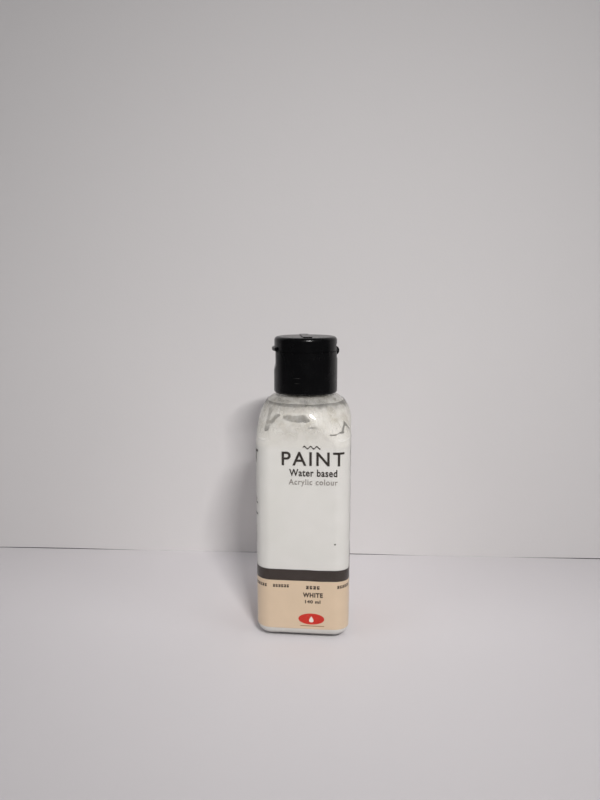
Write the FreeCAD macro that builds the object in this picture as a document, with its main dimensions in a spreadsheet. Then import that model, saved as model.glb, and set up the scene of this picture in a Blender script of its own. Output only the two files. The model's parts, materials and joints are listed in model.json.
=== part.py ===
"""Square plastic bottle of acrylic paint with a screw-on flip-top cap.

Millimetres, +Z up. The origin is the middle of the base, on the surface that the bottle stands on.
The front face of the body looks along -Y. The cap's thumb tab points along -X and its hinge along +X,
both turned about Z by cap_turn.
"""
import FreeCAD, Part

import math
import os

import Sketcher

SIZES = {
    # Body of the bottle, a square with rounded corners.
    "body_width": 41.0,
    "corner_radius": 6.9,
    "heel_radius": 5.0,
    "wall": 0.7,
    "base_wall": 1.2,
    "dome_radius": 36.6,
    "dome_depth": 2.2,
    # Shoulder: the corners round off between two heights, and the flats lean in over a quarter ellipse.
    "corner_from": 87.0,
    "corner_to": 102.0,
    "corner_end": 0.97,
    "shoulder_from": 96.2,
    "shoulder_rise": 11.2,
    # Neck finish, 24 mm across the thread.
    "neck_radius": 11.0,
    "neck_bore": 9.4,
    "neck_top": 123.6,
    "bead_radius": 11.9,
    "bead_from": 110.4,
    "bead_height": 1.5,
    "thread_pitch": 3.175,
    "thread_turns": 1.5,
    "thread_from": 116.4,
    "thread_crest": 12.0,
    "thread_half_root": 1.0,
    "thread_half_crest": 0.5,
    # Contents and film.
    "paint_gap": 0.15,
    "paint_level": 92.0,
    "residue_film": 0.3,
    "residue_to": 103.0,
    "sleeve_gap": 0.05,
    "sleeve_film": 0.12,
    "sleeve_from": 5.0,
    "sleeve_to": 105.3,
    # Seal between the neck and the cap's deck.
    "gasket_inner": 8.8,
    "gasket_outer": 11.7,
    "gasket_height": 0.9,
    # Lower half of the cap.
    "cap_turn": 9.7,
    "cap_radius": 14.05,
    "cap_bottom": 108.3,
    "seam": 126.6,
    "cap_bore": 12.35,
    "cap_thread_crest": 11.3,
    "deck_height": 1.2,
    "collar_outer": 12.2,
    "collar_inner": 11.2,
    "collar_top": 127.8,
    "nozzle_base": 3.6,
    "nozzle_tip": 2.7,
    "nozzle_top": 129.4,
    "orifice": 1.6,
    "rim_fillet": 0.9,
    "thumb_depth": 0.75,
    "thumb_bottom": 120.6,
    "thumb_ramp": 2.7,
    # Lid.
    "lid_radius": 13.85,
    "lid_gap": 0.15,
    "lid_top": 132.9,
    "lid_skin": 1.25,
    "lid_bore": 12.6,
    "lid_fillet": 1.6,
    "pin_root": 1.3,
    "pin_tip": 1.1,
    "pin_bottom": 127.7,
    "tab_reach": 14.95,
    "tab_width": 11.0,
    "tab_height": 1.75,
    "mark_width": 4.0,
    "mark_length": 21.0,
    "mark_height": 0.4,
    "mark_corner": 1.2,
    # Moulded hinge: a flat recess with two film webs and a bowed strap between them.
    "hinge_flat": 13.05,
    "hinge_width": 9.0,
    "hinge_height": 3.2,
    "web_width": 2.0,
    "web_height": 1.3,
    "web_film": 0.35,
    "web_offset": 3.1,
    "strap_reach": 14.85,
    "strap_half": 1.75,
    "strap_width": 3.6,
    "strap_film": 0.75,
}
CORNER_STEPS = (0.0, 0.2, 0.4, 0.6, 0.8, 1.0)  # parts of the way from corner_from to shoulder_from
SHOULDER_ANGLES = (14, 28, 42, 55, 68, 80)  # degrees round the shoulder's quarter ellipse
CUTTER_SIZE = 60.0
OVERRUN = 2.0

doc = FreeCAD.newDocument("paint_bottle")
sheet = doc.addObject("Spreadsheet::Sheet", "sizes")
for row, (alias, value) in enumerate(SIZES.items(), 1):
    sheet.set(f"A{row}", alias)
    sheet.set(f"B{row}", str(value))
    sheet.setAlias(f"B{row}", alias)
doc.recompute()


def size(expression):
    """The value in millimetres of an expression in the sheet's names."""
    return float(doc.sizes.evalExpression(expression))


def new_body(name):
    return doc.addObject("PartDesign::Body", name)


def plane(body, role):
    return next(f for f in body.Origin.OriginFeatures if f.Role == role)


def new_sketch(body, name, role, offset=None):
    """A sketch on one of the body's own origin planes, moved along the plane's normal."""
    sketch = body.newObject("Sketcher::SketchObject", name)
    sketch.AttachmentSupport = (plane(body, role), [""])
    sketch.MapMode = "FlatFace"
    if offset is not None:
        sketch.setExpression("AttachmentOffset.Base.z", offset)
    return sketch


def add_datum(sketch, kind, places, expression):
    """A dimension of the sketch, bound to an expression."""
    index = sketch.addConstraint(Sketcher.Constraint(kind, *places, size(expression)))
    sketch.setExpression(f"Constraints[{index}]", expression)


def polygon(sketch, corners):
    """A closed outline of straight lines. Each corner is a pair of expressions, and None puts it on an axis."""
    spots = [
        FreeCAD.Vector(*(0.0 if part is None else size(part) for part in corner), 0.0)
        for corner in corners
    ]
    for start, end in zip(spots, spots[1:] + spots[:1]):
        sketch.addGeometry(Part.LineSegment(start, end))
    count = len(spots)
    for line in range(count):
        sketch.addConstraint(Sketcher.Constraint("Coincident", line, 2, (line + 1) % count, 1))
    for line, (across, up) in enumerate(corners):
        for part, kind, axis in ((across, "DistanceX", -2), (up, "DistanceY", -1)):
            if part is None:
                sketch.addConstraint(Sketcher.Constraint("PointOnObject", line, 1, axis))
            else:
                add_datum(sketch, kind, (-1, 1, line, 1), part)


def rounded_square(body, name, height, half, corner):
    """A square with round corners, centred on the Z axis at a height. All three are expressions."""
    sketch = new_sketch(body, name, "XY_Plane", height)
    side = size(half)
    radius = size(corner)
    flat = side - radius
    up = FreeCAD.Vector(0, 0, 1)
    for quarter in range(4):
        turn = FreeCAD.Rotation(up, 90 * quarter)
        start = turn.multVec(FreeCAD.Vector(-flat, -side, 0))
        end = turn.multVec(FreeCAD.Vector(flat, -side, 0))
        middle = turn.multVec(FreeCAD.Vector(flat, -flat, 0))
        sketch.addGeometry(Part.LineSegment(start, end))
        swept = [math.radians(90 * (quarter - 1)), math.radians(90 * quarter)]
        sketch.addGeometry(Part.ArcOfCircle(Part.Circle(middle, up, radius), *swept))
    for edge in range(8):
        sketch.addConstraint(Sketcher.Constraint("Tangent", edge, 2, (edge + 1) % 8, 1))
    for line, kind in ((0, "Horizontal"), (2, "Vertical"), (4, "Horizontal"), (6, "Vertical")):
        sketch.addConstraint(Sketcher.Constraint(kind, line))
    for arc in (3, 5, 7):
        sketch.addConstraint(Sketcher.Constraint("Equal", 1, arc))
    add_datum(sketch, "Radius", (1,), corner)
    add_datum(sketch, "DistanceY", (0, 1, -1, 1), half)
    add_datum(sketch, "DistanceX", (-1, 1, 2, 1), half)
    add_datum(sketch, "DistanceY", (-1, 1, 4, 1), half)
    add_datum(sketch, "DistanceX", (6, 1, -1, 1), half)
    return sketch


def pad(body, sketch, length):
    feature = body.newObject("PartDesign::Pad", sketch.Name + "_pad")
    feature.Profile = sketch
    feature.setExpression("Length", length)
    return feature


def revolve(body, sketch):
    feature = body.newObject("PartDesign::Revolution", sketch.Name + "_turned")
    feature.Profile = sketch
    feature.ReferenceAxis = (sketch, ["V_Axis"])
    feature.Angle = 360
    return feature


def round_edges(body, radius, chosen):
    """A fillet on the edges of the body's last feature that chosen accepts."""
    doc.recompute()
    base = body.Tip
    names = [f"Edge{n}" for n, edge in enumerate(base.Shape.Edges, 1) if chosen(edge)]
    feature = body.newObject("PartDesign::Fillet", f"{body.Name}_fillet_{len(body.Group)}")
    feature.Base = (base, names)
    feature.setExpression("Radius", radius)
    return feature


def primitive(body, kind, name, sizes, spot=()):
    """A PartDesign primitive with its sizes and its place given as expressions."""
    feature = body.newObject(f"PartDesign::{kind}", name)
    for key, expression in sizes.items():
        feature.setExpression(key, expression)
    for axis, expression in zip("xyz", spot):
        feature.setExpression(f"Placement.Base.{axis}", expression)
    return feature


def lies_at(height):
    """A test for edges that lie flat at a height."""
    return lambda edge: max(abs(v.Z - height) for v in edge.Vertexes) < 1e-4


def stands_above(height):
    """A test for upright edges that start at a height."""
    return lambda edge: (
        abs(min(v.Z for v in edge.Vertexes) - size(height)) < 1e-4
        and max(v.Z for v in edge.Vertexes) - size(height) > 0.1
    )


def corner_at(height, width, corner):
    """The corner radius at a height: it grows smoothly from corner up to almost a circle."""
    way = f"min(1; ({height} - sizes.corner_from) / (sizes.corner_to - sizes.corner_from))"
    share = f"sizes.corner_end * ({way}) * ({way}) * (3 - 2 * ({way}))"
    return f"{corner} + ({width} - ({corner})) * {share}"


def bottle_form(name, inset, neck, bottom):
    """A solid of the bottle's outline, inset by an amount: straight sides, shoulder, domed underside."""
    body = new_body(name)
    half = f"(sizes.body_width / 2 - ({inset}))"
    corner = f"(sizes.corner_radius - ({inset}))"
    foot = rounded_square(body, name + "_foot", bottom, half, corner)
    pad(body, foot, f"sizes.corner_from - ({bottom})")
    round_edges(body, f"sizes.heel_radius - ({inset})", lies_at(size(bottom)))
    levels = [
        (f"sizes.corner_from + {step} * (sizes.shoulder_from - sizes.corner_from)", half)
        for step in CORNER_STEPS
    ]
    levels += [
        (
            f"sizes.shoulder_from + (sizes.shoulder_rise - ({inset})) * sin({degrees} deg)",
            f"{neck} + ({half} - ({neck})) * cos({degrees} deg)",
        )
        for degrees in SHOULDER_ANGLES
    ]
    rings = [
        rounded_square(body, f"{name}_ring_{n}", height, width, corner_at(height, width, corner))
        for n, (height, width) in enumerate(levels)
    ]
    feature = body.newObject("PartDesign::AdditiveLoft", name + "_shoulder")
    feature.Profile = rings[0]
    feature.Sections = rings[1:]
    dome = body.newObject("PartDesign::SubtractiveSphere", name + "_dome")
    dome.setExpression("Radius", f"sizes.dome_radius + ({bottom})")
    dome.setExpression("Placement.Base.z", "sizes.dome_depth - sizes.dome_radius")
    return body


def helix(body, name, start, corners, turns="sizes.thread_turns"):
    """A right-hand thread ridge: a four-cornered section wound about Z. The corners are expressions."""
    sketch = new_sketch(body, name, "XZ_Plane")
    polygon(sketch, [(across, f"{start} + ({up})") for across, up in corners])
    feature = body.newObject("PartDesign::AdditiveHelix", name + "_wound")
    feature.Profile = sketch
    feature.ReferenceAxis = (sketch, ["V_Axis"])
    feature.Mode = "pitch-turns-angle"
    feature.setExpression("Pitch", "sizes.thread_pitch")
    feature.setExpression("Turns", turns)
    feature.LeftHanded = False
    feature.Reversed = False
    return feature


def boolean(kind, name, base, tool):
    feature = doc.addObject(f"Part::{kind}", name)
    feature.Base = base
    feature.Tool = tool
    return feature


def slab(name, bottom, top):
    """A wide flat block between two heights, to cut a form with."""
    block = doc.addObject("Part::Box", name)
    block.Length = CUTTER_SIZE
    block.Width = CUTTER_SIZE
    block.setExpression("Height", f"{top} - ({bottom})")
    block.Placement.Base = FreeCAD.Vector(-CUTTER_SIZE / 2, -CUTTER_SIZE / 2, 0)
    block.setExpression("Placement.Base.z", bottom)
    return block


def make_bottle():
    """The blown bottle: outside less cavity, with the thread and the bead on its neck."""
    outside = bottle_form("bottle_outside", "0", "sizes.neck_radius", "0")
    root = "sizes.neck_radius - 0.4"
    root_half = "sizes.thread_half_root"
    crest_half = "sizes.thread_half_crest"
    primitive(
        outside, "AdditiveCylinder", "neck",
        {"Radius": "sizes.neck_radius", "Height": "sizes.neck_top - sizes.shoulder_from"},
        ("0", "0", "sizes.shoulder_from"),
    )
    primitive(
        outside, "AdditiveCylinder", "bead",
        {"Radius": "sizes.bead_radius", "Height": "sizes.bead_height"},
        ("0", "0", "sizes.bead_from"),
    )
    helix(outside, "neck_thread", "sizes.thread_from", [
        (root, f"-{root_half}"),
        ("sizes.thread_crest", f"-{crest_half}"),
        ("sizes.thread_crest", crest_half),
        (root, root_half),
    ])
    cavity = bottle_form("bottle_cavity", "sizes.wall", "sizes.neck_bore", "sizes.base_wall")
    primitive(
        cavity, "AdditiveCylinder", "bore",
        {"Radius": "sizes.neck_bore", "Height": f"sizes.neck_top + {OVERRUN} - sizes.shoulder_from"},
        ("0", "0", "sizes.shoulder_from"),
    )
    return boolean("Cut", "bottle_shell", outside, cavity)


def make_contents():
    """The paint up to its level, and the thin coat that shaking leaves inside the shoulder above it."""
    gap = "(sizes.wall + sizes.paint_gap)"
    form = bottle_form("paint_form", gap, "sizes.neck_bore", "(sizes.base_wall + sizes.paint_gap)")
    below = slab("paint_below_level", "0", "sizes.paint_level")
    paint = boolean("Common", "paint_fill", form, below)
    film = f"({gap} + sizes.residue_film)"
    neck = "(sizes.neck_bore - sizes.residue_film)"
    inner = bottle_form("residue_inside", film, neck, f"(sizes.base_wall + {film})")
    coat = boolean("Cut", "residue_coat", form, inner)
    band = slab("residue_band", "(sizes.paint_level + sizes.paint_gap)", "sizes.residue_to")
    return paint, boolean("Common", "paint_residue", coat, band)


def make_sleeve():
    """The printed shrink sleeve, a film that follows the body and the shoulder."""
    gap = "(0 - sizes.sleeve_gap)"
    film = "(0 - sizes.sleeve_gap - sizes.sleeve_film)"
    neck = "sizes.neck_radius"
    outer = bottle_form("sleeve_outside", film, f"({neck} + sizes.sleeve_film)", film)
    inner = bottle_form("sleeve_inside", gap, neck, gap)
    coat = boolean("Cut", "sleeve_coat", outer, inner)
    band = slab("sleeve_band", "sizes.sleeve_from", "sizes.sleeve_to")
    return boolean("Common", "shrink_sleeve", coat, band)


def make_gasket():
    """The flat foam ring between the neck's rim and the cap's deck."""
    discs = []
    for name, radius in (("gasket_disc", "sizes.gasket_outer"), ("gasket_hole", "sizes.gasket_inner")):
        disc = doc.addObject("Part::Cylinder", name)
        disc.setExpression("Radius", radius)
        disc.setExpression("Height", "sizes.gasket_height")
        disc.setExpression("Placement.Base.z", "sizes.neck_top")
        discs.append(disc)
    return boolean("Cut", "seal_gasket", *discs)


def make_cap():
    """The lower half of the cap: threaded skirt, deck, collar for the lid, and nozzle."""
    body = new_body("cap_body")
    under = "(sizes.neck_top + sizes.gasket_height)"
    deck = f"({under} + sizes.deck_height)"
    sketch = new_sketch(body, "cap_outline", "XZ_Plane")
    polygon(sketch, [
        ("sizes.cap_bore", "sizes.cap_bottom"),
        ("sizes.cap_radius", "sizes.cap_bottom"),
        ("sizes.cap_radius", "sizes.seam"),
        ("sizes.collar_outer", "sizes.seam"),
        ("sizes.collar_outer", "sizes.collar_top"),
        ("sizes.collar_inner", "sizes.collar_top"),
        ("sizes.collar_inner", deck),
        ("sizes.nozzle_base", deck),
        ("sizes.nozzle_tip", "sizes.nozzle_top"),
        ("sizes.orifice + 0.35", "sizes.nozzle_top"),
        ("sizes.orifice", "sizes.nozzle_top - 0.6"),
        ("sizes.orifice", under),
        ("sizes.cap_bore", under),
    ])
    revolve(body, sketch)
    round_edges(body, "sizes.rim_fillet", lambda edge: is_rim(edge, "sizes.cap_radius", "sizes.cap_bottom"))
    crest = "sizes.cap_thread_crest"
    root = "sizes.cap_bore + 0.4"
    root_half = "sizes.thread_half_root"
    crest_half = "sizes.thread_half_crest"
    start = "sizes.thread_from - sizes.thread_pitch / 2"
    helix(body, "cap_thread", start, [
        (crest, f"-{crest_half}"),
        (root, f"-{root_half}"),
        (root, root_half),
        (crest, crest_half),
    ])
    cut_thumb_recess(body)
    cut_hinge_recess(body, "cap_hinge_recess", "sizes.seam - sizes.hinge_height")
    return turned_with_cap(body)


def is_rim(edge, radius, height):
    """True for a circle of a radius at a height."""
    if not isinstance(edge.Curve, Part.Circle):
        return False
    same_size = abs(edge.Curve.Radius - size(radius)) < 1e-4
    return same_size and abs(edge.Curve.Center.z - size(height)) < 1e-4


def cut_thumb_recess(body):
    """A flat under the thumb tab, which runs out to the skirt over a ramp."""
    sketch = new_sketch(body, "thumb_recess", "XZ_Plane")
    face = "0 - sizes.cap_radius + sizes.thumb_depth"
    outside = f"0 - sizes.cap_radius - {OVERRUN}"
    polygon(sketch, [
        (face, f"sizes.seam + {OVERRUN}"),
        (outside, f"sizes.seam + {OVERRUN}"),
        (outside, "sizes.thumb_bottom - sizes.thumb_ramp"),
        ("0 - sizes.cap_radius", "sizes.thumb_bottom - sizes.thumb_ramp"),
        (face, "sizes.thumb_bottom"),
    ])
    feature = body.newObject("PartDesign::Pocket", "thumb_recess_cut")
    feature.Profile = sketch
    feature.Midplane = True
    feature.Length = CUTTER_SIZE


def cut_hinge_recess(body, name, bottom):
    """The flat that the moulded hinge sits on."""
    primitive(
        body, "SubtractiveBox", name,
        {"Length": f"{OVERRUN} + 1", "Width": "sizes.hinge_width", "Height": "sizes.hinge_height"},
        ("sizes.hinge_flat", "0 - sizes.hinge_width / 2", bottom),
    )


def make_lid():
    """The lid: a shallow cup with a plug pin inside, a thumb tab and a plain raised bar on top."""
    body = new_body("flip_lid")
    bottom = "(sizes.seam + sizes.lid_gap)"
    ceiling = "(sizes.lid_top - sizes.lid_skin)"
    sketch = new_sketch(body, "lid_outline", "XZ_Plane")
    polygon(sketch, [
        (None, "sizes.pin_bottom"),
        ("sizes.pin_tip", "sizes.pin_bottom"),
        ("sizes.pin_root", "sizes.nozzle_top"),
        ("sizes.pin_root", ceiling),
        ("sizes.lid_bore", ceiling),
        ("sizes.lid_bore", bottom),
        ("sizes.lid_radius", bottom),
        ("sizes.lid_radius", "sizes.lid_top"),
        (None, "sizes.lid_top"),
    ])
    revolve(body, sketch)
    round_edges(body, "sizes.lid_fillet", lambda edge: is_rim(edge, "sizes.lid_radius", "sizes.lid_top"))
    add_tab(body, bottom)
    cut_hinge_recess(body, "lid_hinge_recess", "sizes.seam")
    primitive(
        body, "AdditiveBox", "lid_bar",
        {
            "Length": "sizes.mark_width",
            "Width": "sizes.mark_length",
            "Height": "sizes.mark_height + sizes.lid_skin / 2",
        },
        ("0 - sizes.mark_width / 2", "0 - sizes.mark_length / 2", "sizes.lid_top - sizes.lid_skin / 2"),
    )
    round_edges(body, "sizes.mark_corner", stands_above("sizes.lid_top"))
    return turned_with_cap(body)


def add_tab(body, bottom):
    """The thumb tab, a lip with a round front on the lid's lower edge."""
    sketch = new_sketch(body, "thumb_tab", "XY_Plane", bottom)
    reach = size("sizes.tab_reach")
    half = size("sizes.tab_width / 2")
    lean = math.asin(half / reach)
    front = -reach * math.cos(lean)
    inner = -size("sizes.lid_bore + 0.3")
    up = FreeCAD.Vector(0, 0, 1)
    ends = [FreeCAD.Vector(x, y, 0) for x, y in ((inner, half), (front, half), (front, -half), (inner, -half))]
    sketch.addGeometry(Part.LineSegment(ends[0], ends[1]))
    circle = Part.Circle(FreeCAD.Vector(0, 0, 0), up, reach)
    sketch.addGeometry(Part.ArcOfCircle(circle, math.pi - lean, math.pi + lean))
    sketch.addGeometry(Part.LineSegment(ends[2], ends[3]))
    sketch.addGeometry(Part.LineSegment(ends[3], ends[0]))
    for edge in range(4):
        sketch.addConstraint(Sketcher.Constraint("Coincident", edge, 2, (edge + 1) % 4, 1))
    sketch.addConstraint(Sketcher.Constraint("Coincident", 1, 3, -1, 1))
    for line in (0, 2):
        sketch.addConstraint(Sketcher.Constraint("Horizontal", line))
    sketch.addConstraint(Sketcher.Constraint("Vertical", 3))
    add_datum(sketch, "Radius", (1,), "sizes.tab_reach")
    add_datum(sketch, "DistanceY", (-1, 1, 0, 1), "sizes.tab_width / 2")
    add_datum(sketch, "DistanceY", (3, 1, -1, 1), "sizes.tab_width / 2")
    add_datum(sketch, "DistanceX", (3, 1, -1, 1), "sizes.lid_bore + 0.3")
    pad(body, sketch, "sizes.tab_height")
    lip = size("sizes.tab_reach")
    round_edges(body, "0.6", lambda edge: isinstance(edge.Curve, Part.Circle)
                and abs(edge.Curve.Radius - lip) < 1e-4)


def make_web(name, side):
    """One film hinge: a thin web across the seam, on the flats of both halves."""
    web = doc.addObject("Part::Box", name)
    web.setExpression("Length", "sizes.web_film")
    web.setExpression("Width", "sizes.web_width")
    web.setExpression("Height", "sizes.web_height")
    spot = ("sizes.hinge_flat", f"{side} * sizes.web_offset - sizes.web_width / 2",
            "sizes.seam + (sizes.lid_gap - sizes.web_height) / 2")
    turn_about_z(web, spot)
    return web


def make_strap():
    """The bowed strap in the middle of the hinge, which snaps the lid open or shut."""
    body = new_body("spring_strap")
    sketch = new_sketch(body, "strap_outline", "XZ_Plane")
    bow = "(sizes.strap_reach - sizes.hinge_flat)"
    outer = f"((sizes.strap_half * sizes.strap_half + {bow} * {bow}) / (2 * {bow}))"
    centre = FreeCAD.Vector(size(f"sizes.strap_reach - {outer}"), size("sizes.seam"), 0)
    flat = size("sizes.hinge_flat")
    radii = [size(outer), size(outer) - size("sizes.strap_film")]
    leans = [math.acos((flat - centre.x) / radius) for radius in radii]
    rises = [radius * math.sin(lean) for radius, lean in zip(radii, leans)]
    up = FreeCAD.Vector(0, 0, 1)
    for radius, lean in zip(radii, leans):
        sketch.addGeometry(Part.ArcOfCircle(Part.Circle(centre, up, radius), -lean, lean))
    for sign in (1, -1):
        ends = [FreeCAD.Vector(flat, centre.y + sign * rise, 0) for rise in rises]
        sketch.addGeometry(Part.LineSegment(*ends))
    for line, end in ((2, 2), (3, 1)):
        sketch.addConstraint(Sketcher.Constraint("Coincident", 0, end, line, 1))
        sketch.addConstraint(Sketcher.Constraint("Coincident", 1, end, line, 2))
        sketch.addConstraint(Sketcher.Constraint("Vertical", line))
    sketch.addConstraint(Sketcher.Constraint("Coincident", 0, 3, 1, 3))
    add_datum(sketch, "Radius", (0,), outer)
    add_datum(sketch, "Radius", (1,), f"{outer} - sizes.strap_film")
    add_datum(sketch, "DistanceX", (-1, 1, 0, 3), f"sizes.strap_reach - {outer}")
    add_datum(sketch, "DistanceY", (-1, 1, 0, 3), "sizes.seam")
    for line in (2, 3):
        add_datum(sketch, "DistanceX", (-1, 1, line, 1), "sizes.hinge_flat")
    feature = pad(body, sketch, "sizes.strap_width")
    feature.Midplane = True
    return turned_with_cap(body)


def turn_about_z(thing, spot):
    """Puts a thing at a spot given in the cap's own axes, turned with the cap."""
    across, along, height = spot
    turn = "sizes.cap_turn * 1 deg"
    thing.setExpression("Placement.Base.x", f"({across}) * cos({turn}) - ({along}) * sin({turn})")
    thing.setExpression("Placement.Base.y", f"({across}) * sin({turn}) + ({along}) * cos({turn})")
    thing.setExpression("Placement.Base.z", height)
    thing.Placement.Rotation = FreeCAD.Rotation(FreeCAD.Vector(0, 0, 1), size("sizes.cap_turn"))


def turned_with_cap(body):
    body.Placement.Rotation = FreeCAD.Rotation(FreeCAD.Vector(0, 0, 1), size("sizes.cap_turn"))
    return body


def check(subparts):
    """Stops the script if a feature failed or a sub-part isn't a sound solid."""
    for thing in doc.Objects:
        if {"Invalid", "Error"} & set(thing.State):
            raise RuntimeError(f"{thing.Name} failed: {thing.State} {thing.getStatusString()}")
    for thing in subparts:
        shape = thing.Shape
        if shape.isNull() or not shape.isValid() or not shape.Solids:
            raise RuntimeError(f"{thing.Name} is no sound solid")
        print(f"{thing.Label:18s} {shape.Volume / 1000:8.3f} ml")


def main():
    subparts = [
        make_bottle(),
        *make_contents(),
        make_sleeve(),
        make_gasket(),
        make_cap(),
        make_lid(),
        make_web("hinge_web_front", -1),
        make_web("hinge_web_rear", 1),
        make_strap(),
    ]
    doc.recompute()
    for thing in subparts:
        thing.Label = thing.Name
    check(subparts)
    os.makedirs("parts", exist_ok=True)
    for thing in subparts:
        thing.Shape.exportStep(f"parts/{thing.Label}.step")


main()
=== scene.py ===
"""Looks for a square clear bottle of white acrylic paint with a black flip-top cap.

Lengths in this file are millimetres until they reach a mesh, and MM turns them into metres. The
object's frame is the CAD's: the origin is the middle of the base, +Z is up and the front face looks
along -Y.
"""

import json
import math
import random

import bmesh
import bpy
import numpy as np
from mathutils import Euler, Matrix, Vector, noise


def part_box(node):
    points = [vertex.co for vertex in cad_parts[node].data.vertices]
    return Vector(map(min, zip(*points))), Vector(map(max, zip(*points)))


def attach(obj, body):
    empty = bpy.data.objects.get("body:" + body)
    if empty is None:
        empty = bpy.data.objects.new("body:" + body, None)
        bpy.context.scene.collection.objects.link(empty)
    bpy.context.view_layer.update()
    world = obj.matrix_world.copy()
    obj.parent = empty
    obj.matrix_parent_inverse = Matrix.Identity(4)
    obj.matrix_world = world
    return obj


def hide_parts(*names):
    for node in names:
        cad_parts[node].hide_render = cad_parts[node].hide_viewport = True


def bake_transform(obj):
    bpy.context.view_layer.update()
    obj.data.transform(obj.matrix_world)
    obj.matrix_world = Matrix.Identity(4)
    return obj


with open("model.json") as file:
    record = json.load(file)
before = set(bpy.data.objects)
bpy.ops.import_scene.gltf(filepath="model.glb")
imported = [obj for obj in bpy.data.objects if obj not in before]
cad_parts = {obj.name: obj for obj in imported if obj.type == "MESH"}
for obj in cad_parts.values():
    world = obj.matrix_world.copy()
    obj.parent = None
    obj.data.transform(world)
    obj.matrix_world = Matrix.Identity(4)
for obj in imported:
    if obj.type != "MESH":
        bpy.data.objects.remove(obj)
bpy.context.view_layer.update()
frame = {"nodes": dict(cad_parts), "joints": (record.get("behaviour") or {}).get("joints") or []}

MM = 0.001


def box_mm(node):
    """Lowest and highest corner of a CAD node, in millimetres."""
    return [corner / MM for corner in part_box(node)]


sleeve_low, sleeve_high = box_mm("shrink_sleeve")
paint_high = box_mm("paint_fill")[1]
shell_high = box_mm("bottle_shell")[1]
coat_high = box_mm("paint_residue")[1]

# Body of the bottle. It follows the CAD's, but its shoulder is a little fuller by the neck.
BODY_HALF = 20.5
CORNER_RADIUS = 6.9
FLAT_HALF = BODY_HALF - CORNER_RADIUS
CORNER_ARC = CORNER_RADIUS * math.pi / 2
FACE_PITCH = 2 * FLAT_HALF + CORNER_ARC  # from the middle of one face to the next, along the wall
HEEL_RADIUS = 5.0
HEEL_TOP = 4.8  # rings are close together below this
WALL = 0.7
SEEN_WALL = 0.08  # thin, as a real wall bends light and the paint seems to reach its outside
BASE_WALL = 1.2
DOME_RADIUS = 36.6
DOME_DEPTH = 2.2
CORNER_FROM = 87.0
CORNER_TO = 102.0
CORNER_END = 0.97
SHOULDER_FROM = 96.2
SHOULDER_RISE = 12.0
SHOULDER_CURVE = 1.7  # 2 is an ellipse; less is fuller near the neck
NECK_TAKES_OVER = math.radians(80)  # how far round the shoulder's curve the neck begins
SHOULDER_TOP = SHOULDER_FROM + SHOULDER_RISE * math.sin(NECK_TAKES_OVER)
NECK_RADIUS = 11.0
NECK_BORE = 9.4
NECK_TOP = shell_high.z
BEAD_RADIUS = 11.9
BEAD = (110.4, 111.9)
BEAD_SLOPE = 0.2
BEAD_START = 0.6
LIP_ROUND = 0.25
NECK_RING_STEP = 0.22
THREAD_FROM = 116.4
THREAD_PITCH = 3.175
THREAD_TURNS = 1.5
THREAD_CREST = 12.0
THREAD_HALF_ROOT = 1.0
THREAD_HALF_CREST = 0.5
THREAD_RUNOUT = 0.06

AROUND = 240  # points round each ring of the bottle
ANGLES = [2 * math.pi * k / AROUND for k in range(AROUND)]

# Skins outside the bottle's wall, as distances from it.
PRINT = (0.012, 0.036)
SLEEVE = (0.05, 0.11)  # half as thick as the CAD's film, which keeps the bottle's edges lighter


# ---------------------------------------------------------------- outline of the body

def smooth(t):
    t = min(1.0, max(0.0, t))
    return t * t * (3 - 2 * t)


def neck_at(inset):
    if inset <= WALL:
        return NECK_RADIUS - inset * (NECK_RADIUS - NECK_BORE) / WALL
    return NECK_BORE - (inset - WALL)


def outline(z, inset=0.0, floor=0.0):
    """Half-width and corner radius of a skin of the bottle. floor is the skin's lowest point."""
    half = BODY_HALF - inset
    corner = CORNER_RADIUS - inset
    heel = HEEL_RADIUS - inset
    drop = max(0.0, floor + heel - z)
    pull = heel - math.sqrt(max(0.0, heel * heel - drop * drop))
    half -= pull
    corner -= pull
    if z > SHOULDER_FROM:
        rise = min((z - SHOULDER_FROM) / (SHOULDER_RISE - inset), 1.0)
        half = neck_at(inset) + (half - neck_at(inset)) * math.sqrt(1 - rise ** SHOULDER_CURVE)
    share = CORNER_END * smooth((z - CORNER_FROM) / (CORNER_TO - CORNER_FROM))
    return half, corner + (half - corner) * share


def reach(angle, half, corner):
    """Distance from the axis to a rounded square, in a direction."""
    across, along = sorted((abs(math.cos(angle)), abs(math.sin(angle))))
    flat = half - corner
    if across * half <= flat * along:
        return half / along
    lean = flat * (across + along)
    return lean + math.sqrt(max(0.0, lean * lean - 2 * flat * flat + corner * corner))


def polar(angle, radius, z):
    return Vector((radius * math.cos(angle), radius * math.sin(angle), z))


def body_ring(z, inset=0.0, floor=0.0):
    half, corner = outline(z, inset, floor)
    return [polar(a, reach(a, half, corner), z) for a in ANGLES]


def round_ring(radius, z):
    return [polar(a, radius, z) for a in ANGLES]


RING_STEPS = (  # from, to, and the step between rings
    (0.0, HEEL_TOP, 0.3),
    (HEEL_TOP, CORNER_FROM, 4.0),
    (CORNER_FROM, SHOULDER_FROM, 0.5),
    (SHOULDER_FROM, 108.1, 0.3),
)


def body_heights(low, high):
    """Heights between two limits, close together where the outline changes fast."""
    marks = {low, high}
    for start, end, step in RING_STEPS:
        count = max(1, round((end - start) / step))
        marks |= {start + (end - start) * n / count for n in range(count + 1)}
    return sorted(z for z in marks if low <= z <= high)


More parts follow.
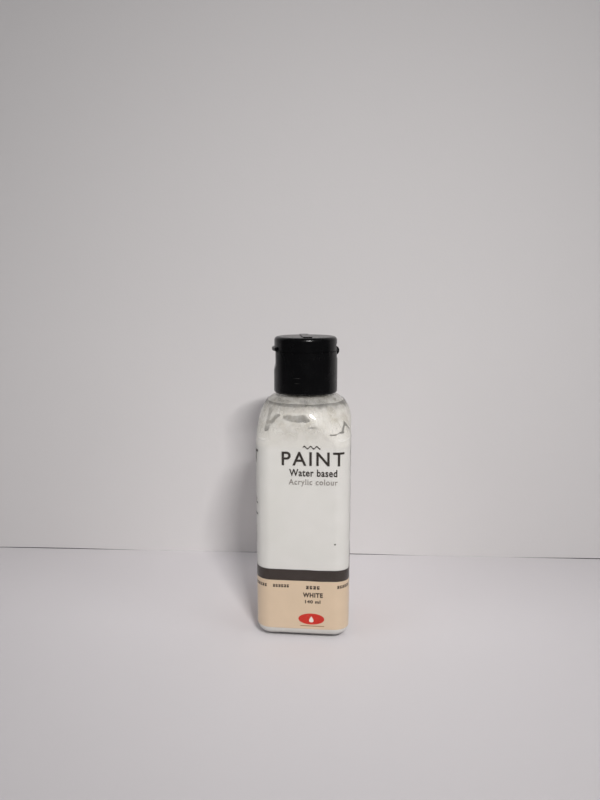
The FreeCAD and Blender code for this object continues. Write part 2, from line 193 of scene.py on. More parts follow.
def around_body(across, z, out):
    """A point on the straight part of the body. across follows the wall from mid front."""
    quarter, rest = divmod(across + FLAT_HALF, FACE_PITCH)
    if rest <= 2 * FLAT_HALF:
        point = Vector((rest - FLAT_HALF, -BODY_HALF - out, z))
    else:
        lean = (rest - 2 * FLAT_HALF) / CORNER_RADIUS
        radius = CORNER_RADIUS + out
        x, y = radius * math.sin(lean), radius * math.cos(lean)
        point = Vector((FLAT_HALF + x, -FLAT_HALF - y, z))
    return Matrix.Rotation(quarter * math.pi / 2, 3, "Z") @ point


# ---------------------------------------------------------------- meshes

def new_object(name, data):
    thing = bpy.data.objects.new(name, data)
    bpy.context.scene.collection.objects.link(thing)
    return thing


def add_mesh(name, points, faces, materials, slots=None):
    """An object from points in millimetres. It is smooth, with outward normals."""
    mesh = bpy.data.meshes.new(name)
    mesh.from_pydata([tuple(p * MM) for p in points], [], faces)
    for material in materials:
        mesh.materials.append(material)
    if slots is not None:
        mesh.polygons.foreach_set("material_index", slots)
    built = bmesh.new()
    built.from_mesh(mesh)
    bmesh.ops.recalc_face_normals(built, faces=built.faces)
    built.to_mesh(mesh)
    built.free()
    mesh.shade_smooth()
    mesh.update()
    return new_object(name, mesh)


def skin(rings, closed, slot_of_row=None):
    """Points, faces and slots of a surface through rings.

    A closed one joins its last ring to its first, and any other has a pole at each end.
    """
    count = len(rings[0])
    points = [p for ring in rings for p in ring]
    faces = []
    slots = []
    rows = len(rings) if closed else len(rings) - 1
    for row in range(rows):
        base = row * count
        above = ((row + 1) % len(rings)) * count
        for k in range(count):
            after = (k + 1) % count
            faces.append((base + k, base + after, above + after, above + k))
            slots.append(slot_of_row(row) if slot_of_row else 0)
    if not closed:
        for row in (0, len(rings) - 1):
            middle = sum(rings[row], Vector()) / count
            points.append(middle)
            base = row * count
            for k in range(count):
                faces.append((base + k, base + (k + 1) % count, len(points) - 1))
                slots.append(slot_of_row(min(row, rows - 1)) if slot_of_row else 0)
    return points, faces, slots


def sharp_by_angle(thing, degrees=35):
    thing.data.set_sharp_from_angle(angle=math.radians(degrees))


# ---------------------------------------------------------------- materials

class Nodes:
    """A material's node tree with short calls."""

    def __init__(self, name):
        self.material = bpy.data.materials.new(name)
        self.material.use_nodes = True
        self.tree = self.material.node_tree
        self.tree.nodes.clear()
        self.out = self.add("ShaderNodeOutputMaterial")
        self.place = self.add("ShaderNodeTexCoord").outputs["Object"]

    def add(self, kind, values=None, **links):
        """A node. values sets sockets by name or number, and links joins them to outputs."""
        node = self.tree.nodes.new(kind)
        for key, value in (values or {}).items():
            if hasattr(node, str(key)) and key not in node.inputs:
                setattr(node, key, value)
            else:
                node.inputs[key].default_value = value
        for key, output in links.items():
            self.link(output, node, key.replace("_", " "))
        return node

    def link(self, output, node, key):
        self.tree.links.new(output, node.inputs[key])

    def fill(self, node, values):
        """Sets a node's sockets in order. Each value is a number, a vector or a node's output."""
        for key, value in enumerate(values):
            if isinstance(value, bpy.types.NodeSocket):
                self.link(value, node, key)
            else:
                node.inputs[key].default_value = value
        return node

    def calc(self, operation, *values):
        return self.fill(self.add("ShaderNodeMath", {"operation": operation}), values).outputs[0]

    def times(self, *vectors):
        """Two vectors or colours multiplied."""
        node = self.add("ShaderNodeVectorMath", {"operation": "MULTIPLY"})
        return self.fill(node, vectors).outputs[0]

    def mixed(self, share, first, second):
        """Two shaders mixed by a share that changes over the surface."""
        shaders = (first.outputs[0], second.outputs[0])
        return self.fill(self.add("ShaderNodeMixShader"), (share, *shaders))

    def height(self):
        return self.add("ShaderNodeSeparateXYZ", Vector=self.place).outputs["Z"]

    def noise(self, scale, detail=3.0, rough=0.55, stretch=(1, 1, 1)):
        """Noise of features about 1/scale metres across, stretched along the axes."""
        values = {"Scale": scale, "Detail": detail, "Roughness": rough}
        place = self.times(self.place, stretch)
        return self.add("ShaderNodeTexNoise", values, Vector=place).outputs["Fac"]

    def ramp(self, fac, low, high, colours):
        """Colours, or grey levels, between two values of fac."""
        node = self.add("ShaderNodeValToRGB")
        first, last = node.color_ramp.elements
        first.position, last.position = low, high
        for element, colour in zip((first, last), colours):
            level = colour if isinstance(colour, tuple) else (colour,) * 3
            element.color = (*level, 1.0)
        self.link(fac, node, "Fac")
        return node.outputs["Color"]

    def bump(self, height, distance, strength=1.0, normal=None):
        node = self.add("ShaderNodeBump", {"Strength": strength, "Distance": distance})
        self.link(height, node, "Height")
        if normal is not None:
            self.link(normal, node, "Normal")
        return node.outputs["Normal"]

    def tint(self, tint, lift, scale=70):
        """A tint that is a little lighter here and there."""
        light = tuple(min(1.0, t * lift) for t in tint)
        return self.ramp(self.noise(scale, 3.0), 0.3, 0.7, (tint, light))

    def uneven(self, rough):
        """Roughness that changes in upright streaks."""
        return self.ramp(self.noise(260, 5.0, 0.6, (1, 1, 0.3)), 0.3, 0.75, rough)

    def finish(self, shader):
        self.link(shader.outputs[0], self.out, "Surface")
        return self.material


def linear(*levels):
    """Linear colour from sRGB levels out of 255."""
    parts = [level / 255 for level in levels]
    return tuple(p / 12.92 if p <= 0.04045 else ((p + 0.055) / 1.055) ** 2.4 for p in parts)


POLISHED = 0.03  # roughness of a clear wall where it isn't scuffed
GRAZING = 5.0  # how suddenly a clear wall's gloss grows towards its edge
RIM_SHADE = 0.55
RIM_HIGH = 0.25


def clear_plastic(name, tint, gloss_ahead, edge_gloss, wave, scuff, rim=None):
    """A clear wall. Light goes straight through, and the outer side reflects by its angle.

    Above rim, which is a height in millimetres, what shows through the wall is darkened: a painted
    shade line at the film's cut edge.
    """
    n = Nodes(name)
    ripple = n.bump(n.noise(90, 2.0, stretch=(1, 1, 0.35)), wave)
    ripple = n.bump(n.noise(900, 4.0), wave * 0.03, normal=ripple)
    colour = n.tint(tint, 1.03, scale=60)
    # Painted shade: the see-through colour is darker above rim, for the dark line along the film's
    # top edge.
    if rim:
        edge = n.ramp(n.height(), (rim - RIM_HIGH) * MM, rim * MM, (1.0, RIM_SHADE))
        colour = n.times(colour, edge)
    through = n.add("ShaderNodeBsdfTransparent", Color=colour)
    gloss = n.add("ShaderNodeBsdfGlossy", {"Color": (1, 1, 1, 1)}, Normal=ripple)
    scuffs = n.noise(400, 5.0, stretch=(1, 1, 0.15))
    n.link(n.ramp(scuffs, 0.45, 0.75, (POLISHED, POLISHED + scuff)), gloss, "Roughness")
    facing = n.add("ShaderNodeLayerWeight", {"Blend": 0.5}, Normal=ripple).outputs["Facing"]
    amount = n.calc("MULTIPLY_ADD", n.calc("POWER", facing, GRAZING), edge_gloss, gloss_ahead)
    outer_side = n.calc("SUBTRACT", 1.0, n.add("ShaderNodeNewGeometry").outputs["Backfacing"])
    return n.finish(n.mixed(n.calc("MULTIPLY", amount, outer_side), through, gloss))


def inner_plastic(name, tint):
    """The far side of a clear wall, which only tints what is behind it."""
    n = Nodes(name)
    return n.finish(n.add("ShaderNodeBsdfTransparent", Color=n.tint(tint, 1.02)))


HAZE_RISES = (87 * MM, 96 * MM)
HAZE_THINS = (106 * MM, 112 * MM)
HAZE_LEFT = 0.6
HAZE_RUNS = (0.25, 0.6)
HAZE_COLOURS = ((0.62, 0.585, 0.52), (0.84, 0.82, 0.785))


def hazy_plastic(name, tint):
    """The inner side of the bottle's wall. Above the fill, runs of thin paint dull it."""
    n = Nodes(name)
    through = n.add("ShaderNodeBsdfTransparent", Color=n.tint(tint, 1.01))
    film = n.add("ShaderNodeBsdfPrincipled", {"Roughness": 0.45})
    n.link(n.ramp(n.noise(300, 4.0), 0.3, 0.7, HAZE_COLOURS), film, "Base Color")
    height = n.height()
    rising = n.ramp(height, *HAZE_RISES, (0.0, 1.0))
    thinning = n.ramp(height, *HAZE_THINS, (1.0, HAZE_LEFT))
    runs = n.ramp(n.noise(260, 5.0, 0.6, (1, 1, 0.45)), 0.35, 0.7, HAZE_RUNS)
    cover = n.calc("MULTIPLY", n.calc("MULTIPLY", rising, thinning), runs)
    return n.finish(n.mixed(cover, through, film))


def solid_plastic(name, base, spread, rough, bump, grain=1600.0, gloss=0.3):
    """A coloured surface with slight mottling, uneven gloss and a fine grain."""
    n = Nodes(name)
    normal = n.bump(n.noise(grain, 3.0), bump)
    normal = n.bump(n.noise(120, 2.0), bump * 2.5, normal=normal)
    shader = n.add("ShaderNodeBsdfPrincipled", {"Specular IOR Level": gloss}, Normal=normal)
    dark = tuple(b * (1 - spread) for b in base)
    n.link(n.ramp(n.noise(140, 6.0, 0.6), 0.3, 0.7, (dark, base)), shader, "Base Color")
    n.link(n.uneven(rough), shader, "Roughness")
    return n.finish(shader)


def ink(name, levels, spread=0.12, rough=(0.3, 0.42), bump=0.000004):
    """Printing ink, from sRGB levels out of 255."""
    return solid_plastic(name, linear(*levels), spread, rough, bump)


SMEAR_RISES = (90 * MM, 99 * MM)
SMEAR_LOW = 0.06


def smeared_paint(name, thick, thin):
    """Paint left on the wall: solid white low down, thin yellowish runs and specks higher up."""
    n = Nodes(name)
    normal = n.bump(n.noise(420, 3.0), 0.00006)
    shader = n.add("ShaderNodeBsdfPrincipled", {"Specular IOR Level": 0.1}, Normal=normal)
    runs = n.ramp(n.noise(230, 6.0, 0.65, (1, 1, 0.55)), 0.5, 0.66, (0.0, 1.0))
    worn = n.calc("MULTIPLY", runs, n.ramp(n.height(), *SMEAR_RISES, (SMEAR_LOW, 1.0)))
    n.link(n.ramp(worn, 0.0, 1.0, (thick, thin)), shader, "Base Color")
    n.link(n.uneven((0.5, 0.75)), shader, "Roughness")
    return n.finish(shader)


def black_cap(name):
    """Moulded black polypropylene: fine grain, faint flow marks down the skirt, a few scratches."""
    n = Nodes(name)
    grain = n.bump(n.noise(2600, 3.0), 0.000012)
    flow = n.bump(n.noise(300, 2.0, stretch=(1, 1, 0.06)), 0.00003, normal=grain)
    scratch = n.ramp(n.noise(520, 1.0, stretch=(0.12, 0.12, 3.0)), 0.68, 0.72, (0.0, 1.0))
    rare = n.ramp(n.noise(150, 2.0), 0.56, 0.62, (0.0, 1.0))
    marks = n.calc("MULTIPLY", scratch, rare)
    normal = n.bump(marks, 0.00003, normal=flow)
    gloss = {"IOR": 1.42, "Specular IOR Level": 0.3}
    shader = n.add("ShaderNodeBsdfPrincipled", gloss, Normal=normal)
    n.link(n.ramp(marks, 0.0, 1.0, (linear(8, 8, 9), linear(46, 45, 44))), shader, "Base Color")
    n.link(n.ramp(n.noise(210, 6.0, 0.65), 0.3, 0.75, (0.2, 0.31)), shader, "Roughness")
    return n.finish(shader)


PET = clear_plastic(
    "clear_pet", tint=(0.99, 0.993, 0.99),
    gloss_ahead=0.008, edge_gloss=0.2, wave=0.00006, scuff=0.06,
)
PET_INSIDE = hazy_plastic("clear_pet_inside", (0.99, 0.992, 0.988))
FILM = clear_plastic(
    "clear_film", tint=(0.995, 0.995, 0.992),
    gloss_ahead=0.022, edge_gloss=0.32, wave=0.00008, scuff=0.1, rim=sleeve_high.z - 0.3,
)
FILM_INSIDE = inner_plastic("clear_film_inside", (0.995, 0.995, 0.99))
WHITE_PAINT = solid_plastic(
    "white_paint", (0.70, 0.681, 0.655),
    spread=0.04, rough=(0.55, 0.75), bump=0.00002, grain=700, gloss=0.1,
)
COAT_PAINT = smeared_paint("smeared_paint", thick=(0.70, 0.678, 0.645), thin=(0.52, 0.485, 0.42))
DARK_INK = ink("dark_ink", (52, 43, 38))
TEXT_INK = ink("text_ink", (52, 46, 42))
GREY_INK = ink("grey_ink", (142, 136, 130), spread=0.08)
BEIGE_INK = ink("beige_ink", (214, 191, 164), spread=0.05, rough=(0.32, 0.45), bump=0.000006)
RED_INK = ink("red_ink", (200, 40, 22), rough=(0.3, 0.4))
RULE_INK = ink("rule_ink", (160, 128, 98), spread=0.08)
CODE_INK = ink("code_ink", (74, 58, 46))
WHITE_INK = ink("white_ink", (236, 226, 214), spread=0.05, rough=(0.3, 0.4))
FOAM = solid_plastic(
    "liner_foam", (0.7, 0.7, 0.68),
    spread=0.12, rough=(0.75, 0.9), bump=0.00008, grain=2600,
)
BLACK = black_cap("black_plastic")


# ---------------------------------------------------------------- bottle

def thread_height(angle, z):
    """How far the neck's thread stands out of the neck at a place."""
    best = 0.0
    for turn in range(math.ceil(THREAD_TURNS) + 1):
        along = turn + (angle % (2 * math.pi)) / (2 * math.pi)
        if not 0 <= along <= THREAD_TURNS:
            continue
        gap = abs(z - THREAD_FROM - THREAD_PITCH * along)
        side = (THREAD_HALF_ROOT - gap) / (THREAD_HALF_ROOT - THREAD_HALF_CREST)
        runout = min(along, THREAD_TURNS - along) / THREAD_RUNOUT
        best = max(best, min(1.0, side, runout))
    return best * (THREAD_CREST - NECK_RADIUS)


def dome_rings(radius, floor, count=10):
    """Rings of the pushed-up middle of the base, from the axis out to where it meets the flat."""
    centre = DOME_DEPTH - DOME_RADIUS
    edge = math.sqrt(radius ** 2 - (floor - centre) ** 2)
    radii = [edge * (n + 0.5) / (count + 0.5) for n in range(count)] + [edge]
    return [round_ring(r, centre + math.sqrt(radius ** 2 - r * r)) for r in radii]


def neck_rings():
    rings = []
    steps = round((NECK_TOP - SHOULDER_TOP) / NECK_RING_STEP)
    for n in range(steps + 1):
        z = SHOULDER_TOP + (NECK_TOP - SHOULDER_TOP) * n / steps
        inside_bead = min(z - BEAD[0], BEAD[1] - z)
        share = min(1.0, max(0.0, inside_bead / BEAD_SLOPE + BEAD_START))
        bead = (BEAD_RADIUS - NECK_RADIUS) * share
        edge = LIP_ROUND * max(0.0, 1 - (NECK_TOP - z) / LIP_ROUND)
        rings.append([
            polar(a, NECK_RADIUS + max(bead, thread_height(a, z)) - edge, z) for a in ANGLES
        ])
    return rings


def make_bottle():
    heights = body_heights(0.0, SHOULDER_TOP)
    outside = dome_rings(DOME_RADIUS, 0.0)
    outside += [body_ring(z) for z in heights]
    outside += neck_rings()
    inset_heights = [z for z in body_heights(BASE_WALL, SHOULDER_TOP - WALL) if z > BASE_WALL]
    depths = (0.0, 4.0, 8.0, 12.0, NECK_TOP - SHOULDER_TOP)
    inside = [round_ring(NECK_BORE, NECK_TOP - depth) for depth in depths]
    inside += [body_ring(z, SEEN_WALL, BASE_WALL) for z in reversed(inset_heights)]
    inside += [body_ring(BASE_WALL, SEEN_WALL, BASE_WALL)]
    inside += list(reversed(dome_rings(DOME_RADIUS + BASE_WALL, BASE_WALL)))
    turn = len(outside)
    points, faces, slots = skin(outside + inside, False, lambda row: 0 if row < turn else 1)
    bottle = add_mesh("clear_bottle", points, faces, [PET, PET_INSIDE], slots)
    sharp_by_angle(bottle)
    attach(bottle, "bottle")
    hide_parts("bottle_shell")


# ---------------------------------------------------------------- paint

PAINT_OUT = SEEN_WALL + 0.03
PAINT_LEVEL = paint_high.z - 2.2
PAINT_FLOOR = BASE_WALL + 0.06
PAINT_RIM = 1.5  # height over which the paint's side leaves the wall
RIDGES = {"scale": 0.22, "high": 0.8}
CLINGS = {"high": 1.2, "from": 13, "over": 7}
SURFACE_SHARES = (1.0, 0.985, 0.96, 0.92, 0.86, 0.78, 0.68, 0.56, 0.42, 0.28, 0.12)

COAT_FROM = 83.5
COAT_SKIN = 0.42
COAT_EDGE = 0.06  # thickness of the coat at its ragged edge
COAT_WEARS_FROM = 88.0
COAT_TO = coat_high.z + 1.6
COAT_TOP_SHARE = 0.97
COAT_FOOT = {"rise": 1.6, "wander": 1.4, "soft": 0.8}
COAT_SUNK = {"deep": 0.06, "to": 86.2, "over": 1.6}
BLOTCHES = {"spacing": (0.16, 0.16, 0.24), "strength": 1.1}
STREAKS = {"around": 9, "along": 0.35, "strength": 0.45}
PATCH_STRENGTH = 2.6
PATCH_SOFT = 1.3


def paint_top(point):
    """Height of the paint's surface: its level, ridges left by shaking, and a clinging rim."""
    near_wall = smooth((max(abs(point.x), abs(point.y)) - CLINGS["from"]) / CLINGS["over"])
    ridges = noise.noise(Vector((point.x, point.y, 0)) * RIDGES["scale"]) * RIDGES["high"]
    return PAINT_LEVEL + ridges + CLINGS["high"] * near_wall


def make_paint():
    rings = dome_rings(DOME_RADIUS + PAINT_FLOOR, PAINT_FLOOR)
    side = body_heights(PAINT_FLOOR, PAINT_LEVEL - PAINT_RIM)
    rings += [body_ring(z, PAINT_OUT + 0.01, PAINT_FLOOR) for z in side]
    rim = body_ring(PAINT_LEVEL, PAINT_OUT + COAT_SKIN * 0.6, PAINT_FLOOR)
    for share in SURFACE_SHARES:
        ring = [Vector((p.x * share, p.y * share, 0)) for p in rim]
        rings.append([Vector((p.x, p.y, paint_top(p))) for p in ring])
    points, faces, slots = skin(rings, False)
    paint = add_mesh("white_paint_fill", points, faces, [WHITE_PAINT])
    sharp_by_angle(paint, 50)
    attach(paint, "bottle")
    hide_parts("paint_fill")


# Places where the coat has run off and the wall is clear: the middle along the wall and up, the
# half-sizes, and how far the place leans along the wall for each millimetre up.
CLEAR_PATCHES = (
    {"across": -2.9, "up": 99.5, "wide": 7.2, "high": 1.6, "lean": 0.0},
    {"across": -16.0, "up": 97.6, "wide": 1.5, "high": 4.6, "lean": -0.38},
    {"across": -13.4, "up": 97.8, "wide": 1.6, "high": 4.4, "lean": 0.55},
    {"across": 18.0, "up": 95.5, "wide": 0.8, "high": 2.1, "lean": 0.85},
    {"across": 20.6, "up": 95.2, "wide": 0.9, "high": 2.6, "lean": -0.75},
    {"across": 4.2, "up": 95.9, "wide": 3.4, "high": 0.6, "lean": 0.0},
    {"across": 12.2, "up": 92.9, "wide": 2.4, "high": 0.6, "lean": 0.0},
    {"across": 15.6, "up": 93.5, "wide": 2.0, "high": 0.5, "lean": 0.0},
)


def coat_cover(angle, z, point):
    """How surely paint clings to the wall at a place: above 0 there is paint."""
    height = (z - COAT_WEARS_FROM) / (COAT_TO - COAT_WEARS_FROM)
    full = 1.9
    cover = full - full * max(0.0, height) ** 3 if height < COAT_TOP_SHARE else -1.0
    blotch_at = Vector([a * b for a, b in zip(point, BLOTCHES["spacing"])])
    blotch = noise.fractal(blotch_at, 0.8, 2.1, 5)  # roughness, spacing of octaves, octaves
    around = STREAKS["around"]
    streak_at = Vector((math.cos(angle) * around, math.sin(angle) * around, z * STREAKS["along"] + 7))
    streak = noise.noise(streak_at)
    cover += BLOTCHES["strength"] * blotch + STREAKS["strength"] * streak
    across = (angle + math.pi / 2 + math.pi) % (2 * math.pi) - math.pi
    for patch in CLEAR_PATCHES:
        du = across * BODY_HALF - patch["across"]
        dv = z - patch["up"]
        du -= dv * patch["lean"]
        far = (abs(du / patch["wide"]) ** 3 + abs(dv / patch["high"]) ** 3) ** (1 / 3)
        cover -= PATCH_STRENGTH * max(0.0, PATCH_SOFT - far)
    wander = noise.noise(Vector((math.cos(angle) * 4, math.sin(angle) * 4, 3.0)))
    foot = COAT_FROM + COAT_FOOT["rise"] + COAT_FOOT["wander"] * wander
    return min(cover, (z - foot) / COAT_FOOT["soft"])


def make_coat():
    """The smeared coat inside the shoulder, cut along its ragged edge and thinner towards it."""
    columns = 560
    rows = 76
    least = 0.01  # a cover nearer 0 than this would give slivers

    def where(u, v):
        return 2 * math.pi * u / columns, COAT_FROM + (COAT_TO - COAT_FROM) * v / rows

    def place(u, v, inset):
        angle, z = where(u, v)
        half, corner = outline(z, inset, BASE_WALL)
        return polar(angle, reach(angle, half, corner), z)

    cover = {}
    for u in range(columns):
        for v in range(rows + 1):
            value = coat_cover(*where(u, v), place(u, v, PAINT_OUT))
            cover[u, v] = value if abs(value) > least else least
    index = {}
    spots = []

    def spot(key, u, v, value):
        if key not in index:
            index[key] = len(spots)
            spots.append((u, v, value))
        return index[key]

    polygons = []
    for u in range(columns):
        for v in range(rows):
            ring = [(u, v), (u + 1, v), (u + 1, v + 1), (u, v + 1)]
            polygon = []
            for (ua, va), (ub, vb) in zip(ring, ring[1:] + ring[:1]):
                fa, fb = cover[ua % columns, va], cover[ub % columns, vb]
                if fa > 0:
                    polygon.append(spot((ua % columns, va), ua, va, fa))
                if fa * fb < 0:
                    t = min(0.9, max(0.1, fa / (fa - fb)))
                    key = tuple(sorted(((ua % columns, va), (ub % columns, vb))))
                    polygon.append(spot(key, ua + (ub - ua) * t, va + (vb - va) * t, 0.0))
            if len(polygon) > 2:
                polygons.append(polygon)
    total = len(spots)

    def sunk(v):
        """How far the coat's foot lies behind the side of the paint."""
        z = v / rows * (COAT_TO - COAT_FROM) + COAT_FROM
        return COAT_SUNK["deep"] * (1 - smooth((z - COAT_SUNK["to"]) / COAT_SUNK["over"]))

    def thickness(value):
        return COAT_EDGE + (COAT_SKIN - 0.1) * smooth(value / 0.7)

    outer = [place(u, v, PAINT_OUT + sunk(v)) for u, v, value in spots]
    inner = [place(u, v, PAINT_OUT + sunk(v) + thickness(value)) for u, v, value in spots]
    faces = [tuple(polygon) for polygon in polygons]
    faces += [tuple(total + k for k in reversed(polygon)) for polygon in polygons]
    uses = {}
    for polygon in polygons:
        for a, b in zip(polygon, polygon[1:] + polygon[:1]):
            uses[a, b] = uses.get((a, b), 0) + 1
    for a, b in uses:
        if (b, a) not in uses:
            faces.append((b, a, total + a, total + b))
    coat = add_mesh("smeared_paint_coat", outer + inner, faces, [COAT_PAINT])
    drop_crumbs(coat)
    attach(coat, "bottle")
    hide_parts("paint_residue")


def drop_crumbs(thing, least=60):
    """Removes islands of fewer faces than least, which would be specks."""
    built = bmesh.new()
    built.from_mesh(thing.data)
    seen = set()
    doomed = []
    for start in built.faces:
        if start.index in seen:
            continue
        island = []
        stack = [start]
        seen.add(start.index)
        while stack:
            face = stack.pop()
            island.append(face)
            for edge in face.edges:
                for other in edge.link_faces:
                    if other.index not in seen:
                        seen.add(other.index)
                        stack.append(other)
        if len(island) < least:
            doomed += island
    bmesh.ops.delete(built, geom=doomed, context="FACES")
    built.to_mesh(thing.data)
    built.free()


# ---------------------------------------------------------------- sleeve and print

def loop_band(name, heights, inner, outer, materials, wave=0.0, seed=0.0):
    """A thin closed band round the body between two skins. Its edges wander by wave."""
    def ring(z, out, edge):
        points = body_ring(z, -out)
        for p, a in zip(points, ANGLES):
            p.z += edge * wave * noise.noise(Vector((math.cos(a) * 2.3, math.sin(a) * 2.3, seed)))
        return points

    last = len(heights) - 1
    edge = [1.0 if n in (0, last) else 0.0 for n in range(len(heights))]
    rings = [ring(z, outer, e) for z, e in zip(heights, edge)]
    rings += [ring(z, inner, e) for z, e in zip(reversed(heights), reversed(edge))]
    points, faces, slots = skin(rings, True, lambda row: 0 if row < last else len(materials) - 1)
    band = add_mesh(name, points, faces, materials, slots)
    sharp_by_angle(band)
    return band


def no_shade(thing):
    """Lets all light through a clear piece, whose own shade is too weak to see."""
    thing.visible_shadow = False
    thing.visible_diffuse = False


def on_bottle(thing):
    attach(thing, "bottle")
    return thing


def make_sleeve():
    heights = body_heights(sleeve_low.z, sleeve_high.z)
    sleeve = loop_band("clear_sleeve", heights, SLEEVE[0], SLEEVE[1], [FILM, FILM_INSIDE], 0.25)
    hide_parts("shrink_sleeve")
    on_bottle(sleeve)
    no_shade(sleeve)


CORNER_CUTS = 18  # print is cut this often round a corner, so that it bends


def wrapped(name, flat, across, up, width, height, ink, slot, out=PRINT):
    """Lays a flat mesh, an object with a small thickness, on the wall as print."""
    mesh = flat.data
    bpy.data.objects.remove(flat)
    built = bmesh.new()
    built.from_mesh(mesh)
    bmesh.ops.remove_doubles(built, verts=built.verts, dist=1e-6)
    low = [min(v.co[n] for v in built.verts) for n in range(3)]
    high = [max(v.co[n] for v in built.verts) for n in range(3)]
    for v in built.verts:
        share = [(v.co[n] - low[n]) / max(high[n] - low[n], 1e-9) for n in range(3)]
        v.co = Vector((across + (share[0] - 0.5) * width, up + (share[1] - 0.5) * height, share[2]))
    for quarter in range(-2, 4):
        start = quarter * FACE_PITCH - FLAT_HALF - CORNER_ARC
        for n in range(CORNER_CUTS + 1):
            cut = start + CORNER_ARC * n / CORNER_CUTS
            if across - width / 2 < cut < across + width / 2:
                geometry = built.verts[:] + built.edges[:] + built.faces[:]
                plane = {"plane_co": (cut, 0, 0), "plane_no": (1, 0, 0)}
                bmesh.ops.bisect_plane(built, geom=geometry, dist=1e-5, **plane)
    for v in built.verts:
        v.co = around_body(v.co.x, v.co.y, out[0] + (out[1] - out[0]) * v.co.z) * MM
    bmesh.ops.recalc_face_normals(built, faces=built.faces)
    built.to_mesh(mesh)
    built.free()
    mesh.materials.clear()
    mesh.materials.append(ink)
    mesh.name = name
    return on_bottle(new_object(name, mesh))


def word(text, weight=0.0, spacing=1.0):
    """Flat letters in Blender's own plain typeface, as a mesh."""
    curve = bpy.data.curves.new("word", "FONT")
    curve.body = text
    curve.extrude = 0.05
    curve.offset = weight
    curve.space_character = spacing
    curve.resolution_u = 6
    holder = new_object("word", curve)
    bpy.context.view_layer.update()
    graph = bpy.context.evaluated_depsgraph_get()
    mesh = bpy.data.meshes.new_from_object(holder.evaluated_get(graph))
    bpy.data.objects.remove(holder)
    bpy.data.curves.remove(curve)
    return bpy.data.objects.new("word", mesh)


def plate(outlines):
    """Flat shapes with a thickness, each from a closed outline of points."""
    built = bmesh.new()
    for outline_points in outlines:
        low = [built.verts.new((x, y, 0.0)) for x, y in outline_points]
        high = [built.verts.new((x, y, 0.1)) for x, y in outline_points]
        built.faces.new(list(reversed(low)))
        built.faces.new(high)
        for k in range(len(low)):
            after = (k + 1) % len(low)
            built.faces.new((low[k], low[after], high[after], high[k]))
    mesh = bpy.data.meshes.new("plate")
    built.to_mesh(mesh)
    built.free()
    return bpy.data.objects.new("plate", mesh)


def pill(x, y, width, height, count=6):
    """Outline of a bar with round ends, its middle at x and y."""
    radius = height / 2
    reach_x = width / 2 - radius
    points = []
    for side, start in ((1, -90), (-1, 90)):
        for n in range(count + 1):
            lean = math.radians(start + 180 * n / count)
            along = x + side * reach_x + radius * math.cos(lean)
            points.append((along, y + radius * math.sin(lean)))
    return points


def oval(width, height, count=48):
    leans = [2 * math.pi * n / count for n in range(count)]
    return [(width / 2 * math.cos(lean), height / 2 * math.sin(lean)) for lean in leans]


def drop(width, height, count=30):
    """Outline of a drop with its point up."""
    points = []
    for n in range(count):
        lean = 2 * math.pi * n / count
        pinch = math.sin(lean / 2) ** 1.6
        points.append((width / 2 * math.sin(lean) * pinch * 1.3, height / 2 * math.cos(lean)))
    return points


WORD_LENGTHS = (0.9, 3.4)
WORD_SPACE = 0.45
LAST_LINE = 0.55  # length of a paragraph's last line, as a share of the others


def fine_print(width, lines, pitch, seed):
    """Bars that stand for lines of small print."""
    draw = random.Random(seed)
    bars = []
    for line in range(lines):
        x = 0.0
        end = width * (1.0 if line < lines - 1 else LAST_LINE)
        while x < end - 0.8:
            length = min(draw.uniform(*WORD_LENGTHS), end - x)
            bars.append(pill(x + length / 2, -line * pitch, max(length, 0.7), pitch * 0.42, 3))
            x += length + WORD_SPACE
    return bars


BLOCK = {"pitch": 1.3, "wide": 0.95, "high": 1.5}
BLOCK_SLOT = {"at": 0.38, "low": 0.85, "high": 1.05}


def blocks(count):
    """Upright blocks that stand for a code's characters. Each is a bar with a slot in one side."""
    low, high, top = BLOCK_SLOT["low"], BLOCK_SLOT["high"], BLOCK["high"]
    shapes = []
    for n in range(count):
        x = BLOCK["pitch"] * n
        side = (0.0, BLOCK["wide"]) if n % 2 else (BLOCK["wide"], 0.0)
        near, far = (x + s for s in side)
        slot = x + BLOCK_SLOT["at"]
        shape = [(near, 0.0), (near, top), (far, top), (far, high)]
        shape += [(slot, high), (slot, low), (far, low), (far, 0.0)]
        shapes.append(shape)
    return shapes


def size_of(outlines):
    xs = [x for points in outlines for x, y in points]
    ys = [y for points in outlines for x, y in points]
    return max(xs) - min(xs), max(ys) - min(ys)


FACES = {"front": 0.0, "right": 1.0, "back": 2.0, "left": -1.0}
PRINT_SHIFT = 4.9  # the sleeve has turned a little, so its print is off the middle of each face
BAND = (27.9, 30.4, 33.0)  # heights of its foot, middle and top
PANEL = (5.5, 17.0, 27.88)
EDGE_WAVE = 0.5  # how far the bands' edges wander
EDGE_SEED = 3.0
PANEL_UNDER = 0.008  # how far the panel lies under the other print
DROP_OVER = (PRINT[1], PRINT[1] + 0.008)
WAVE = {"length": 7.4, "high": 0.5, "turns": 2.4, "half_line": 0.27, "points": 49}
FINE_PRINT = (  # paragraphs on the side faces
    {"top": 64.0, "lines": 3, "wide": 19.0},
    {"top": 57.2, "lines": 2, "wide": 19.0},
    {"top": 50.5, "lines": 6, "wide": 15.0},
)
LINE_PITCH = 1.75


def face_middle(face):
    return FACES[face] * FACE_PITCH + PRINT_SHIFT


def make_bands():
    wave = {"wave": EDGE_WAVE, "seed": EDGE_SEED}
    dark = loop_band("dark_band", BAND, *PRINT, [DARK_INK], **wave)
    on_bottle(dark)
    panel = loop_band("beige_panel", PANEL, PRINT[0] - PANEL_UNDER, PRINT[0], [BEIGE_INK], **wave)
    on_bottle(panel)


